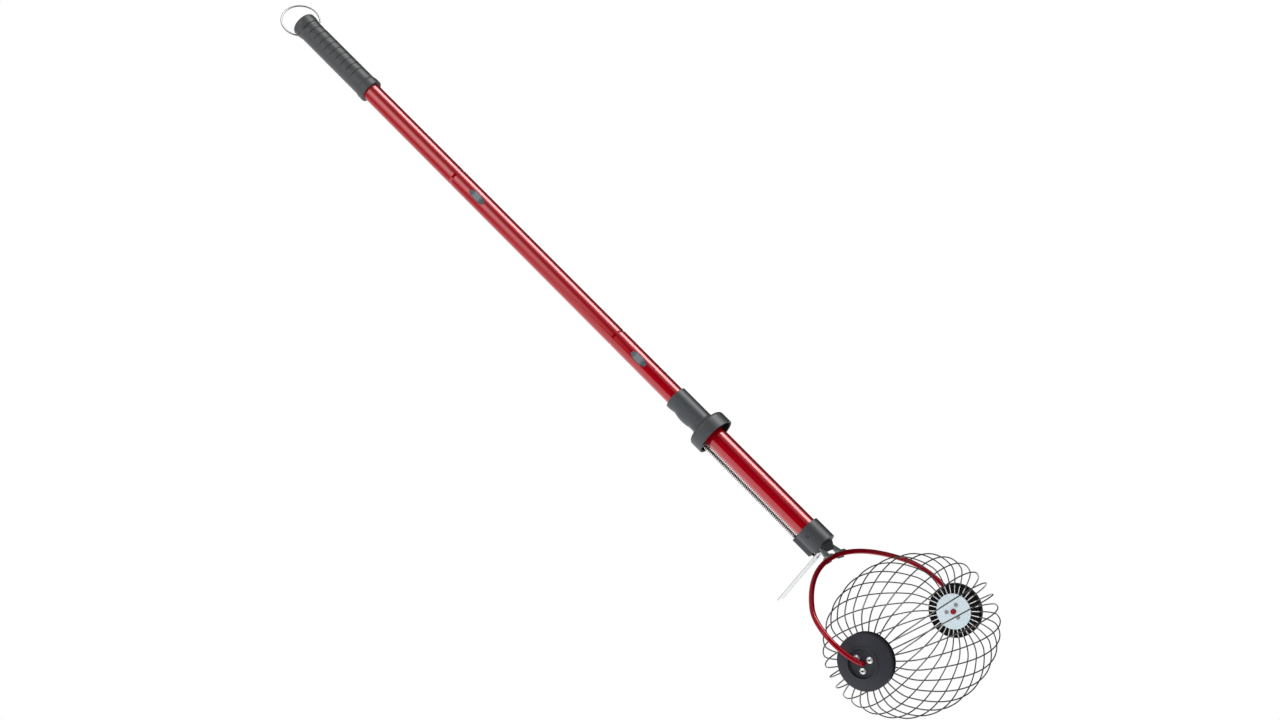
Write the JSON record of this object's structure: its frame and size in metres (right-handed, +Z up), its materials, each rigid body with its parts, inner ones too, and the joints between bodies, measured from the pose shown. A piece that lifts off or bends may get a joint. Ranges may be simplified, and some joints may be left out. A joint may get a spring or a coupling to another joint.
{
  "type": "rolling nut gatherer",
  "caption": "Rolling wire-cage nut gatherer on a bent fork, with a knock-down tube handle, a hanging ring, a sprung dump collar and a two-tine emptying prong.",
  "frame": {"origin": "inside top of the hanging ring, where a hook carries it", "axes": "+Z up the handle towards the ring, Y along the cage's axle, -X the way the prong points"},
  "size_m": [0.1926, 0.3536, 1.2944],
  "materials": {
    "red_paint": "gloss",
    "grip_rubber": "matte",
    "grey_plastic": "satin",
    "hub_plastic": "satin",
    "wire_steel": "drawn",
    "bright_steel": "zinc plated"
  },
  "bodies": {
    "handle": {"grip": "grip_rubber", "upper_tube": "red_paint", "middle_tube": "red_paint", "lower_tube": "red_paint", "slide_tube": "red_paint", "upper_lock_spring": "wire_steel", "lower_lock_spring": "wire_steel", "return_spring": "bright_steel", "socket": "grey_plastic", "socket_rivet": "bright_steel", "fork_bracket": "wire_steel", "fork": "red_paint", "prong_pin": "bright_steel"},
    "ring": {"hanging_ring": "wire_steel"},
    "upper_button": {"upper_lock_button": "grey_plastic"},
    "lower_button": {"lower_lock_button": "grey_plastic"},
    "collar": {"slide_collar": "grey_plastic", "push_rod": "bright_steel"},
    "prong_arm": {"prong": "bright_steel"},
    "cage": {"left_hub": "hub_plastic", "right_hub": "hub_plastic", "left_plate": "bright_steel", "right_plate": "bright_steel", "left_screws": "bright_steel", "right_screws": "bright_steel", "cage_wires": "wire_steel"}
  },
  "joints": [
    {"name": "ring_swing", "type": "hinge", "parent": "handle", "child": "ring", "pos_m": [0, 0, -0.04159], "axis": [0.6018, 0.7986, 0], "range_deg": [-140, 140]},
    {"name": "upper_button_press", "type": "slide", "parent": "handle", "child": "upper_button", "axis": [-0.454, 0.891, 0], "range_m": [0, 0.0038], "stiffness_N_per_m": 1500, "deforming": ["upper_lock_spring"]},
    {"name": "lower_button_press", "type": "slide", "parent": "handle", "child": "lower_button", "axis": [-0.454, 0.891, 0], "range_m": [0, 0.0038], "stiffness_N_per_m": 1500, "deforming": ["lower_lock_spring"]},
    {"name": "dump_slide", "type": "slide", "parent": "handle", "child": "collar", "axis": [0, 0, -1], "range_m": [0, 0.0125], "stiffness_N_per_m": 250, "springref_m": -0.02, "deforming": ["return_spring"]},
    {"name": "prong_swing", "type": "hinge", "parent": "handle", "child": "prong_arm", "pos_m": [-0.0035, 0, -1.04409], "axis": [0, -1, 0], "range_deg": [0, 53.8]},
    {"name": "cage_roll", "type": "hinge", "parent": "handle", "child": "cage", "pos_m": [0, 0, -1.19559], "axis": [0, 1, 0], "continuous": true}
  ],
  "couplings": [
    {"joint": "prong_swing", "follows": "dump_slide", "rad_per_m": 75.05}
  ]
}
